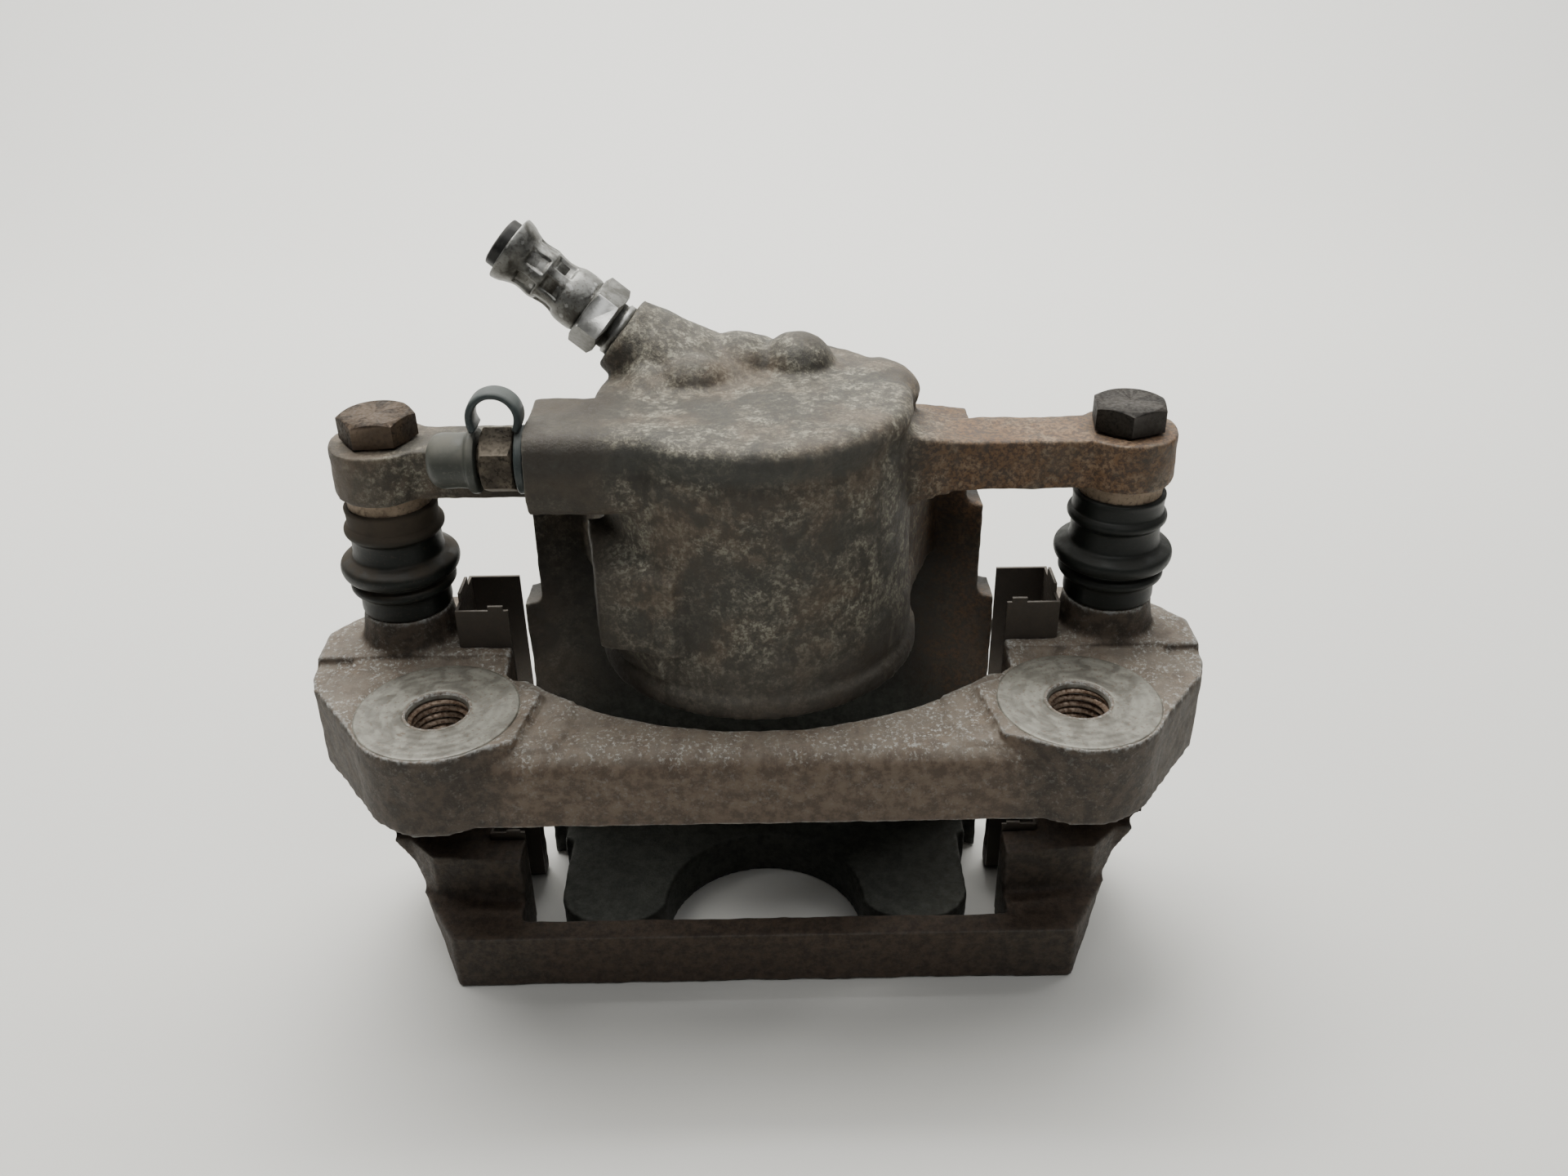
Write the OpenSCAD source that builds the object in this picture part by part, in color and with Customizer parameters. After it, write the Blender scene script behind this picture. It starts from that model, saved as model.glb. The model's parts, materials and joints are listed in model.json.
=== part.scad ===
// Floating brake caliper: a one-piston housing that slides on two guide pins in a carrier bracket.
// Frame: origin midway between the two mounting holes, on the face that meets the steering knuckle.
// +X along the line of the mounting holes, +Y radially outward, +Z along the disc axis, inboard.

/* [Mounting] */
// Distance between the two mounting holes
mount_pitch = 123; // [112:1:150]
// Core radius of a mounting thread
mount_hole_r = 5.25; // [4.3:0.05:6.3]
// Radius of a mounting ear around its hole
mount_ear_r = 16.5; // [14:0.5:18]
// Thickness of a mounting ear
mount_ear_t = 17.5; // [14:0.5:21]

/* [Guide pins] */
// Distance between the two guide pins
pin_pitch = 144; // [132:1:176]
// Height of the pin axes above the mounting holes
pin_y = 27; // [22:0.5:32]
// Radius of a guide pin
pin_r = 6; // [5:0.1:7.2]
// Radial running clearance of a guide pin
pin_fit = 0.05; // [0.02:0.01:0.1]
// Radius of the carrier boss that holds a pin
pin_boss_r = 10; // [9:0.5:12]
// Height of the pin boss above the mounting face
pin_boss_h = 8.7; // [6:0.1:10]
// Across flats of a guide bolt head
bolt_af = 13; // [11:1:15]
// Thread radius of a guide bolt
bolt_r = 4; // [3:0.5:4.5]

/* [Cylinder] */
// Piston radius
piston_r = 24; // [20:0.5:28.8]
// Radial running clearance of the piston
piston_fit = 0.04; // [0.02:0.01:0.1]
// Height of the piston axis above the mounting holes
piston_y = 27; // [25:0.5:32]
// Cylinder wall around the bore
cyl_wall = 6.6; // [5.5:0.1:8]
// Height of the cylinder's closed end
cyl_top = 54; // [50:0.5:66]
// Thickness of the cylinder's closed end
cyl_end_t = 7; // [6:0.5:10]
// Height of the cylinder's open mouth
mouth_z = -0.6; // [-3:0.1:0]

/* [Disc and bridge] */
// Disc radius
disc_r = 123.5; // [120:0.5:124]
// Height of the disc axis, which lies below the mounting holes
disc_y = -73; // [-73.5:0.5:-70]
// Height of the disc's inboard face
disc_top = -24; // [-26:0.5:-22]
// Disc thickness
disc_t = 22; // [18:0.5:26.5]
// Radial room between the disc and the bridge
disc_room = 3.5; // [3:0.5:6]
// Thickness of the bridge
bridge_t = 9; // [7.5:0.5:11]
// Half width of the bridge
bridge_half = 52; // [47:0.5:52.5]
// Distance from the cylinder mouth to the fingers
jaw_gap = 62.4; // [60:0.1:75]
// Thickness of the fingers
finger_t = 11; // [9:0.5:13.2]

/* [Pads] */
// Half distance between the inboard pad abutments
abut_in = 50; // [48:0.5:51]
// Half distance between the outboard pad abutments
abut_out = 53; // [52.6:0.2:54]
// Depth of a pad slot
slot_depth = 11; // [9:0.5:11]
// Width of a pad slot
slot_w = 15; // [12:0.5:16]
// Lower edge of the pad slots
slot_y = 20; // [18:0.5:21]
// Thickness of the clip sheet
clip_t = 0.6; // [0.4:0.1:0.8]

/* [Bleeder and hose] */
// Across flats of the bleed screw
bleed_af = 11; // [9:1:12]
// Distance that the bleed boss face lies left of the middle
bleed_x = 40.6; // [39:0.2:44]
// Height of the bleed screw axis above the mounting holes
bleed_y = 11.4; // [10:0.2:12]
// Across flats of the hose fitting
hose_af = 13; // [12:0.5:14]
// Tilt of the hose port away from the disc axis
hose_tilt = 52; // [48:1:60]
// Compass angle of the hose port
hose_turn = 172.5; // [165:0.5:180]

/* [Hidden] */
$fn = 64;
eps = 0.01;
flat_gap = 0.05;            // room around a seal or a clip in its groove
mount_x = mount_pitch / 2;
pin_x = pin_pitch / 2;
bore_r = piston_r + piston_fit;
cyl_r = bore_r + cyl_wall;
bore_top = cyl_top - cyl_end_t;
mouth_lip = 0.9;            // how far the mouth ring stands out
mouth_h = 4.8;
edge_r = 3;                 // rounding of the cylinder's closed end
disc_bottom = disc_top - disc_t;
relief_r = disc_r + disc_room;
bridge_r = relief_r + bridge_t;
finger_z = mouth_z - jaw_gap;
floor_z = finger_z - finger_t;
// inboard half of the carrier
in_bottom = disc_top + 3;
out_top = disc_bottom - 3;
bar_front = -14;
bar_top = -1.5;
bar_round = 5;
bar_arc_r = 69;
bar_arc_y = piston_y - cyl_r - mouth_lip - 1 + bar_arc_r;
block_y = 16.5;             // where the raised back block starts
block_top = 2;
block_r = 14.5;
ear_out = 17.5;             // how far an ear reaches past the pin axis
arm_y = 45;                 // outer edge of the arms over the disc
leg_out = 13;               // how far an outboard leg reaches past the pin axis
arm_in = 8;                 // arm root, measured inwards from the pin
tie_y = 5.6;
tie_h = 14;
taper_z = -46;              // where the outboard legs start to taper
taper = 31;
slot_x = abut_in + slot_depth;
wall_y = slot_y + slot_w;
// guide pins and housing ears
ear_bottom = 34.5;
ear_t = 10.5;
ear_r = 9.9;
arm_w = 13;
root_grow = 2;              // how far the arm root flares each way
root_len = 7;
pin_tip = disc_top + 9;
pin_floor = pin_tip - 4.5;
collar_t = 2.6;
collar_r = 8.2;
bolt_end = 16;
bolt_room = 0.05;
bush_z = pin_tip + 4;
bush_h = 8;
bush_t = 1.2;
boot_base = pin_boss_h;
boot_top = ear_bottom - collar_t;
// piston
nose_z = mouth_z - 2.4;
piston_end = bore_top - 3;
cup_r = piston_r - 7;
cup_end = 8;                // thickness of the piston crown
seal_z = mouth_z + 9.6;
seal_h = 4;
seal_w = 3.2;
seal_fit = 0.02;
boot_seat_r = bore_r + 3.6;
boot_seat_h = 4;
nose_groove = 1.6;
// fingers
finger_in = 21;
finger_out = 46;
finger_tip = 7.8;
finger_round = 10;
heel_half = 48;
web_half = 39;
heel_y = 36;
cut_r = 22;
cut_y = 14;
// bleeder
bleed_z = cyl_top - 7;
bleed_hex_x = bleed_x + 2.1;
bleed_hex_t = 5.9;
bleed_shank_r = 4;
bleed_depth = 15;
nipple_len = 8.6;
nipple_r = 3.2;
cap_len = 8.1;
cap_r = 5.1;
cap_gap = 0.8;
ring_t = 1.6;
strap_w = 3;
strap_t = 1.4;
strap_r = 5;
strap_turn = 112;           // half of the angle that the strap loops through
// hose port, its end face and what screws into it
hose_at = [-26, piston_y + 16, cyl_top + 6];
hose_boss_r = 7.8;
hose_boss_len = 28;
hose_thread_r = 4.5;
hose_thread_len = 11;
hose_neck_len = 2.4;
hose_hex_len = 5.6;
ferrule_len = 18.4;
ferrule_r = 5.8;
waist_r = 4.95;
flare_r = 6.6;
hose_r = 5;
hose_bore_r = 1.6;
liner_t = 0.8;
stub_out = 2.3;

// points of an arc about c
function arc(c, r, a0, a1, n = 12) = [for (i = [0:n]) c + r * [cos(a0 + (a1 - a0) * i / n), sin(a0 + (a1 - a0) * i / n)]];

// a block between two corners
module block(low, high) {
    translate(low) cube(high - low);
}

// a rectangle with round corners, centred
module round_rect(w, h, r) {
    polygon(concat(
        arc([w / 2 - r, h / 2 - r], r, 0, 90, 6),
        arc([r - w / 2, h / 2 - r], r, 90, 180, 6),
        arc([r - w / 2, r - h / 2], r, 180, 270, 6),
        arc([w / 2 - r, r - h / 2], r, 270, 360, 6)
    ));
}

module both_sides() {
    children();
    mirror([1, 0, 0]) children();
}

// moves to the disc axis
module about_disc() {
    translate([0, disc_y, 0]) children();
}

// moves to the right-hand guide pin
module at_pin() {
    translate([pin_x, pin_y, 0]) children();
}

// moves to the piston axis
module at_piston() {
    translate([0, piston_y, 0]) children();
}

// turns +Z to the bleed screw's outward direction, with its boss face at zero
module at_bleeder() {
    translate([-bleed_x, bleed_y, bleed_z]) rotate([0, -90, 0]) children();
}

// turns +Z to the hose port's outward direction, with its end face at zero
module at_hose() {
    translate(hose_at) rotate([0, hose_tilt, hose_turn]) children();
}

// the curved bridge between two heights
module bridge_slab(half, z0, z1) {
    intersection() {
        about_disc() difference() {
            translate([0, 0, z0]) cylinder(r = bridge_r, h = z1 - z0, $fn = 128);
            translate([0, 0, z0 - 1]) cylinder(r = relief_r, h = z1 - z0 + 2, $fn = 128);
        }
        block([-half, piston_y, z0], [half, piston_y + bridge_r, z1]);
    }
}

// the outboard wall with its two fingers
module fingers() {
    translate([0, 0, floor_z]) difference() {
        union() {
            intersection() {
                block([-heel_half, heel_y, 0], [heel_half, heel_y + bridge_r, finger_t]);
                about_disc() cylinder(r = bridge_r, h = finger_t, $fn = 128);
            }
            block([-finger_in - 1, cut_y, 0], [finger_in + 1, heel_y + 1, finger_t]);
            both_sides() linear_extrude(finger_t) polygon(concat(
                [[finger_in, heel_y + 1]],
                arc([finger_in + finger_round, finger_tip + finger_round], finger_round, 180, 270, 8),
                arc([finger_out - finger_round, finger_tip + finger_round], finger_round, 270, 360, 8),
                [[finger_out, heel_y + 1]]
            ));
        }
        translate([0, cut_y, -1]) cylinder(r = cut_r, h = finger_t + 2);
    }
}

// the solid cylinder, before its bore
module cylinder_body() {
    at_piston() rotate_extrude($fn = 96) polygon(concat(
        [[0, mouth_z], [cyl_r + mouth_lip, mouth_z], [cyl_r + mouth_lip, mouth_z + mouth_h]],
        [[cyl_r, mouth_z + mouth_h + mouth_lip]],
        arc([cyl_r - edge_r, cyl_top - edge_r], edge_r, 0, 90, 6),
        [[0, cyl_top]]
    ));
}

// raised pad on the lower left of the cylinder
module cast_pad() {
    at_piston() rotate([0, 0, -134]) rotate([90, 0, 0]) linear_extrude(13, center = true)
        polygon([[cyl_r - 6, 4], [cyl_r + 1, 6], [cyl_r + 2.6, 17], [cyl_r + 1, 24], [cyl_r - 6, 26]]);
}

// boss for the bleed screw, from the middle of the cylinder to its flat face
module bleed_boss() {
    translate([0, bleed_y + 3.8, bleed_z - 1]) rotate([0, -90, 0]) linear_extrude(bleed_x)
        round_rect(16, 23.5, 4);
}

// flared root of the right-hand arm
module arm_root() {
    hull() {
        block([cyl_r - 9, pin_y - arm_w / 2 - root_grow, ear_bottom - root_grow],
            [cyl_r - 1, pin_y + arm_w / 2 + root_grow, ear_bottom + ear_t + root_grow]);
        block([cyl_r + root_len, pin_y - arm_w / 2, ear_bottom],
            [cyl_r + root_len + 1, pin_y + arm_w / 2, ear_bottom + ear_t]);
    }
}

// web that widens from the cylinder's sides to the bridge
module bridge_web() {
    hull() {
        block([1 - cyl_r, piston_y, 5], [cyl_r - 1, piston_y + 1, 36]);
        block([-web_half, relief_r + disc_y - 5, 8], [web_half, relief_r + disc_y - 1, 36]);
    }
}

// boss for the hose port, blended into the cylinder's closed end
module hose_boss() {
    hull() {
        at_hose() mirror([0, 0, 1]) cylinder(r = hose_boss_r, h = 3, $fn = 32);
        translate([-9, piston_y + 14, cyl_top - 8]) cylinder(r = 14, h = 7, $fn = 32);
    }
    hull() {
        at_hose() translate([0, 0, -5]) mirror([0, 0, 1]) cylinder(r = hose_boss_r - 1, h = 3, $fn = 32);
        translate([-20, piston_y - 2, cyl_top - 18]) cylinder(r = 8, h = 14, $fn = 32);
    }
}

// everything cut for the piston, its path to the fingers, its seal and its dust boot
module piston_bore() {
    at_piston() {
        translate([0, 0, finger_z]) cylinder(r = bore_r + flat_gap, h = mouth_z - finger_z, $fn = 96);
        translate([0, 0, mouth_z - 1]) cylinder(r = bore_r, h = bore_top - mouth_z + 1, $fn = 96);
        translate([0, 0, seal_z - flat_gap]) cylinder(r = bore_r + seal_w, h = seal_h + 2 * flat_gap, $fn = 96);
        translate([0, 0, mouth_z - 1]) cylinder(r = boot_seat_r, h = boot_seat_h + 1, $fn = 96);
    }
}

module caliper_housing() {
    color("darkkhaki") difference() {
        union() {
            cylinder_body();
            bridge_slab(bridge_half, floor_z, -2);
            bridge_slab(bridge_half - 3.5, -2 - eps, 20);
            bridge_slab(bridge_half - 7, 20 - eps, 38);
            bridge_web();
            fingers();
            both_sides() {
                block([0, pin_y - arm_w / 2, ear_bottom], [pin_x, pin_y + arm_w / 2, ear_bottom + ear_t]);
                arm_root();
                at_pin() translate([0, 0, ear_bottom]) cylinder(r = ear_r, h = ear_t);
            }
            bleed_boss();
            hose_boss();
            translate([8, piston_y + 17, cyl_top - 1.5]) sphere(r = 6);
            translate([0, piston_y + 26, cyl_top - 6]) sphere(r = 7.5);
            cast_pad();
        }
        piston_bore();
        both_sides() at_pin() translate([0, 0, ear_bottom - 1]) cylinder(r = bolt_r + 0.3, h = ear_t + 2);
        at_bleeder() mirror([0, 0, 1]) {
            translate([0, 0, -1]) cylinder(r = bleed_shank_r + bolt_room, h = bleed_depth + 1);
            cylinder(r = 1.5, h = bleed_x - piston_r * 0.6);
        }
        at_hose() mirror([0, 0, 1]) {
            translate([0, 0, -1]) cylinder(r = hose_thread_r + bolt_room, h = hose_thread_len + 1.5);
            cylinder(r = 2, h = hose_boss_len - 4);
        }
    }
}

// outline of one mounting ear with its raised back block, seen along the disc axis
module ear_outline() {
    translate([mount_x, 0]) circle(r = mount_ear_r);
    polygon([
        [mount_x - mount_ear_r, bar_front + 3],
        [mount_x - 6, -mount_ear_r + 1.2],
        [mount_x + mount_ear_r * 0.7, -mount_ear_r * 0.7],
        [pin_x + ear_out - 2, block_y - 9],
        [pin_x + ear_out, block_y - 3],
        [pin_x + ear_out, pin_y - 1],
        [pin_x + ear_out - 4, pin_y + 5],
        [pin_x + pin_boss_r, pin_y + 8],
        [pin_x - 4, wall_y + 6],
        [abut_in + 4, wall_y + 6],
        [abut_in + 4, wall_y],
        [abut_in, wall_y],
        [abut_in, 9],
        [abut_in - 8, 5]
    ]);
    translate([pin_x, pin_y - 5]) circle(r = block_r);
}

// the bar that joins the two ears
module front_bar() {
    difference() {
        rotate([90, 0, 90]) linear_extrude(2 * (mount_x - 4), center = true) polygon(concat(
            [[bar_front, -mount_ear_t], [12, -mount_ear_t], [12, bar_top]],
            arc([bar_front + bar_round, bar_top - bar_round], bar_round, 90, 180, 8)
        ));
        translate([0, bar_arc_y, -mount_ear_t - 1]) cylinder(r = bar_arc_r, h = mount_ear_t + 2, $fn = 128);
    }
}

// arm that crosses the disc's edge and joins the two halves of the carrier
module cross_arm() {
    difference() {
        translate([0, 0, floor_z + 2]) linear_extrude(in_bottom - floor_z + 8) polygon([
            [pin_x - arm_in - 5, 20],
            [pin_x + leg_out, 20],
            [pin_x + leg_out, pin_y + 7],
            [pin_x + 4, arm_y],
            [pin_x - arm_in - 5, arm_y],
        ]);
        about_disc() translate([0, 0, out_top]) cylinder(r = relief_r, h = in_bottom - out_top, $fn = 128);
    }
}

// outboard leg with its foot on the tie bar
module outboard_leg() {
    translate([0, 0, floor_z]) linear_extrude(tie_h) polygon([
        [abut_out, 0],
        [pin_x - 5, 0],
        [pin_x + 3.5, 14],
        [pin_x + leg_out, 24],
        [pin_x + leg_out, pin_y + 7],
        [pin_x + 4, arm_y],
        [abut_out + 3, arm_y - 5],
        [abut_out, wall_y + 4]
    ]);
    translate([0, 0, floor_z]) linear_extrude(out_top - floor_z) polygon([
        [abut_out, 12],
        [pin_x + 1, 14],
        [pin_x + leg_out, 26],
        [pin_x + leg_out, pin_y + 7],
        [pin_x + 4, arm_y],
        [abut_out + 3, arm_y - 5],
        [abut_out, wall_y + 4]
    ]);
}

module carrier_bracket() {
    color("saddlebrown") difference() {
        union() {
            front_bar();
            both_sides() {
                translate([0, 0, -mount_ear_t]) linear_extrude(mount_ear_t) ear_outline();
                intersection() {
                    translate([0, 0, in_bottom]) linear_extrude(block_top - in_bottom) ear_outline();
                    block([abut_in, block_y, in_bottom], [pin_x + block_r * 2, arm_y, block_top]);
                }
                at_pin() translate([0, 0, in_bottom]) cylinder(r = pin_boss_r, h = block_top - in_bottom);
                at_pin() translate([0, 0, block_top - eps])
                    cylinder(r1 = pin_boss_r, r2 = pin_boss_r - 1, h = pin_boss_h - block_top + eps);
                cross_arm();
                outboard_leg();
            }
            block([-abut_out - 1, 0, floor_z], [abut_out + 1, tie_y, floor_z + tie_h]);
        }
        both_sides() {
            translate([mount_x, 0, -mount_ear_t - 1]) cylinder(r = mount_hole_r, h = mount_ear_t + 2);
            at_pin() translate([0, 0, pin_floor]) cylinder(r = pin_r + pin_fit, h = pin_boss_h - pin_floor + 1);
            block([abut_in - 1, slot_y, in_bottom - 1], [slot_x, wall_y, block_top + 1]);
            block([abut_out - 1, slot_y, floor_z - 1], [slot_x, wall_y, out_top + 1]);
            translate([pin_x + leg_out, 0, taper_z]) rotate([0, taper, 0])
                block([0, -eps, floor_z], [40, arm_y + 1, 0]);
        }
    }
}

module piston() {
    color("silver") at_piston() difference() {
        translate([0, 0, nose_z]) cylinder(r = piston_r, h = piston_end - nose_z, $fn = 96);
        translate([0, 0, nose_z - 1]) cylinder(r = cup_r, h = piston_end - nose_z - cup_end + 1);
        translate([0, 0, mouth_z]) difference() {
            cylinder(r = piston_r + 1, h = 2);
            translate([0, 0, -1]) cylinder(r = piston_r - nose_groove, h = 4);
        }
    }
}

module piston_seal() {
    color("black") at_piston() translate([0, 0, seal_z]) difference() {
        cylinder(r = bore_r + seal_w - flat_gap, h = seal_h, $fn = 96);
        translate([0, 0, -1]) cylinder(r = piston_r + seal_fit, h = seal_h + 2, $fn = 96);
    }
}

// one fold of rubber from the seat in the mouth to the groove in the piston
module piston_dust_boot() {
    inner = piston_r - nose_groove + flat_gap;
    outer = boot_seat_r - flat_gap;
    color("dimgray") at_piston() translate([0, 0, mouth_z]) rotate_extrude($fn = 96) polygon([
        [outer, boot_seat_h - flat_gap],
        [outer - 1.2, boot_seat_h - flat_gap],
        [outer - 1.2, 1.2],
        [outer - 2, 0.9],
        [inner + 1.6, 0.9],
        [inner + 1.6, 1.7],
        [inner, 1.7],
        [inner, 0.3],
        [outer - 1, 0.1],
        [outer, 0.8]
    ]);
}

// the right-hand guide pin
module guide_pin() {
    at_pin() difference() {
        union() {
            translate([0, 0, pin_tip]) cylinder(r = pin_r, h = ear_bottom - pin_tip);
            translate([0, 0, ear_bottom - collar_t]) cylinder(r = collar_r, h = collar_t);
        }
        translate([0, 0, ear_bottom - bolt_end - 1]) cylinder(r = bolt_r + bolt_room, h = bolt_end + 2);
    }
}

module guide_pin_left() {
    color("gray") mirror([1, 0, 0]) guide_pin();
}

// the right-hand pin carries the rubber bush in a groove near its tip
module guide_pin_right() {
    color("gray") difference() {
        guide_pin();
        at_pin() translate([0, 0, bush_z - flat_gap]) difference() {
            cylinder(r = pin_r + 1, h = bush_h + 2 * flat_gap);
            translate([0, 0, -1]) cylinder(r = pin_r - bush_t, h = bush_h + 2);
        }
    }
}

module guide_pin_bush() {
    color("black") at_pin() translate([0, 0, bush_z]) difference() {
        cylinder(r = pin_r - flat_gap, h = bush_h);
        translate([0, 0, -1]) cylinder(r = pin_r - bush_t + flat_gap, h = bush_h + 2);
    }
}

// the right-hand bellows, from the carrier boss to the pin's collar
module guide_boot() {
    wall = pin_r + 0.6;
    h = boot_top - boot_base;
    at_pin() translate([0, 0, boot_base]) rotate_extrude() polygon([
        [wall, 0],
        [8.9, 0],
        [8.9, h * 0.1],
        [10.4, h * 0.19],
        [10.4, h * 0.25],
        [9.2, h * 0.3],
        [11.7, h * 0.36],
        [11.7, h * 0.49],
        [9.2, h * 0.56],
        [8.8, h * 0.8],
        [9.4, h * 0.86],
        [9.4, h * 0.97],
        [8.6, h],
        [wall, h]
    ]);
}

module guide_boot_left() {
    color("black") mirror([1, 0, 0]) guide_boot();
}

module guide_boot_right() {
    color("black") guide_boot();
}

// the right-hand guide bolt
module guide_bolt() {
    head_h = 4.9;
    seat = ear_bottom + ear_t;
    at_pin() {
        translate([0, 0, seat + 0.4]) cylinder(d = bolt_af / cos(30), h = head_h, $fn = 6);
        translate([0, 0, seat]) cylinder(d = bolt_af - 0.6, h = 0.4 + eps);
        translate([0, 0, ear_bottom - bolt_end + 1]) cylinder(r = bolt_r, h = seat - ear_bottom + bolt_end);
    }
}

module guide_bolt_left() {
    color("sienna") mirror([1, 0, 0]) guide_bolt();
}

module guide_bolt_right() {
    color("sienna") guide_bolt();
}

module bleed_screw() {
    color("tan") at_bleeder() difference() {
        union() {
            translate([0, 0, 1 - bleed_depth]) cylinder(r = bleed_shank_r, h = bleed_depth - 1 + bleed_hex_x - bleed_x);
            translate([0, 0, bleed_hex_x - bleed_x])
                cylinder(d = bleed_af / cos(30), h = bleed_hex_t, $fn = 6);
            translate([0, 0, bleed_hex_x - bleed_x + bleed_hex_t]) {
                cylinder(r = nipple_r - 0.6, h = nipple_len);
                translate([0, 0, nipple_len - 3]) cylinder(r1 = nipple_r, r2 = nipple_r - 1, h = 3);
            }
        }
        translate([0, 0, 6 - bleed_depth]) cylinder(r = 1, h = 40);
    }
}

// rubber cap over the nipple
module bleed_cap() {
    start = bleed_hex_x - bleed_x + bleed_hex_t + cap_gap;
    color("darkslategray") at_bleeder() difference() {
        translate([0, 0, start]) rotate_extrude() polygon(concat(
            [[0, 0], [cap_r + 1, 0], [cap_r + 1, 1.6], [cap_r, 2]],
            arc([cap_r - 3, cap_len + 1.2 - 3], 3, 0, 90, 6),
            [[0, cap_len + 1.2]]
        ));
        translate([0, 0, start - 1]) cylinder(r = nipple_r + 0.1, h = nipple_len - cap_gap + 1.4);
    }
}

// anchor ring round the bleed screw's neck, with the strap that loops up to the cap
module bleed_cap_strap() {
    cap_start = bleed_hex_x - bleed_x + bleed_hex_t + cap_gap;
    foot = cap_r + 1.3;
    tip = cap_start + 1.4;
    color("darkslategray") at_bleeder() {
        translate([0, 0, flat_gap]) difference() {
            cylinder(r = 6.2, h = ring_t);
            translate([0, 0, -1]) cylinder(r = bleed_shank_r + 0.15, h = ring_t + 2);
        }
        // in this plane +X points up the caliper and +Z points away from the boss
        rotate([90, 0, 0]) linear_extrude(strap_w, center = true) polygon(concat(
            [[5.6, flat_gap], [foot, flat_gap]],
            arc([foot + 2, tip / 2], strap_r, -strap_turn, strap_turn, 16),
            arc([foot + 2, tip / 2], strap_r - strap_t, strap_turn, -strap_turn, 16),
            [[foot, flat_gap + ring_t], [5.6, flat_gap + ring_t]]
        ));
    }
}

// hose end: thread in the port, neck and hexagon
module hose_fitting() {
    color("silver") at_hose() difference() {
        union() {
            translate([0, 0, 0.5 - hose_thread_len]) cylinder(r = hose_thread_r, h = hose_thread_len);
            cylinder(r = hose_boss_r - 2.2, h = hose_neck_len);
            translate([0, 0, hose_neck_len]) cylinder(d = hose_af / cos(30), h = hose_hex_len, $fn = 6);
        }
        translate([0, 0, -hose_thread_len - 1]) cylinder(r = hose_bore_r, h = 40);
    }
}

// crimped sleeve round the hose
module hose_ferrule() {
    start = hose_neck_len + hose_hex_len;
    color("silver") at_hose() translate([0, 0, start]) rotate_extrude() polygon([
        [hose_bore_r, 0],
        [ferrule_r - 0.4, 0],
        [ferrule_r, 1.5],
        [ferrule_r, 4],
        [waist_r, 6.8],
        [waist_r + 0.3, 10],
        [waist_r + 0.2, 14],
        [flare_r - 0.3, ferrule_len - 2],
        [flare_r, ferrule_len],
        [hose_r + flat_gap, ferrule_len],
        [hose_r + flat_gap, ferrule_len - 2.4],
        [hose_r - 0.5, ferrule_len - 3.4],
        [hose_r - 0.5, 5],
        [hose_bore_r, 5]
    ]);
}

// rubber of the hose, cut off just outside the sleeve
module hose_stub() {
    start = hose_neck_len + hose_hex_len + 5 + flat_gap;
    length = ferrule_len - 5 + stub_out;
    core = hose_bore_r + liner_t + flat_gap;
    color("black") at_hose() translate([0, 0, start]) rotate_extrude() polygon([
        [core, 0],
        [hose_r - 0.6, 0],
        [hose_r - 0.6, length - stub_out - 3.5],
        [hose_r - 0.1, length - stub_out - 2.5],
        [hose_r - 0.1, length - 0.6],
        [hose_r - 0.6, length],
        [core, length]
    ]);
}

module hose_liner() {
    start = hose_neck_len + hose_hex_len + 5 + flat_gap;
    color("dimgray") at_hose() translate([0, 0, start]) difference() {
        cylinder(r = hose_bore_r + liner_t, h = ferrule_len - 5 + stub_out);
        translate([0, 0, -1]) cylinder(r = hose_bore_r, h = ferrule_len);
        translate([0, 0, 4]) cylinder(r = hose_bore_r, h = ferrule_len + stub_out);
    }
}

// sheet lining of the right-hand pad slot between two heights, with a tongue at its upper end
module pad_clip(inner, z0, z1, tongue) {
    y0 = slot_y + flat_gap;
    y1 = wall_y - flat_gap;
    back = slot_x - flat_gap;
    block([inner, y0, z0], [back, y0 + clip_t, z1]);
    block([back - clip_t, y0, z0], [back, y1, z1]);
    block([inner, y1 - clip_t, z0], [back, y1, z1]);
    block([back - clip_t, y0 + 4, z1 - eps], [back, y1 - 4, z1 + tongue]);
    block([inner + 1, y0, z1 - 4], [inner + 4, y0 + clip_t, z1 + tongue / 2]);
}

module pad_clip_inboard() {
    pad_clip(abut_in + 0.3, in_bottom + 1, pin_boss_h + 1.3, 2);
}

module pad_clip_outboard() {
    pad_clip(abut_out + 0.3, floor_z + 1.5, out_top + 1.5, 1);
}

module pad_clip_inboard_left() {
    color("#2b2724") mirror([1, 0, 0]) pad_clip_inboard();
}

module pad_clip_inboard_right() {
    color("#2b2724") pad_clip_inboard();
}

module pad_clip_outboard_left() {
    color("#2b2724") mirror([1, 0, 0]) pad_clip_outboard();
}

module pad_clip_outboard_right() {
    color("#2b2724") pad_clip_outboard();
}

caliper_housing();
carrier_bracket();
piston();
piston_seal();
piston_dust_boot();
guide_pin_left();
guide_pin_right();
guide_pin_bush();
guide_boot_left();
guide_boot_right();
guide_bolt_left();
guide_bolt_right();
bleed_screw();
bleed_cap();
bleed_cap_strap();
hose_fitting();
hose_ferrule();
hose_stub();
hose_liner();
pad_clip_inboard_left();
pad_clip_inboard_right();
pad_clip_outboard_left();
pad_clip_outboard_right();
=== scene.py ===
# Looks of the brake caliper: cast iron, rubber, rusty steel and zinc around the fixed CAD frame.
import json
import math

import bmesh
import bpy
import numpy as np
from mathutils import Matrix, Vector, noise


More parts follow.
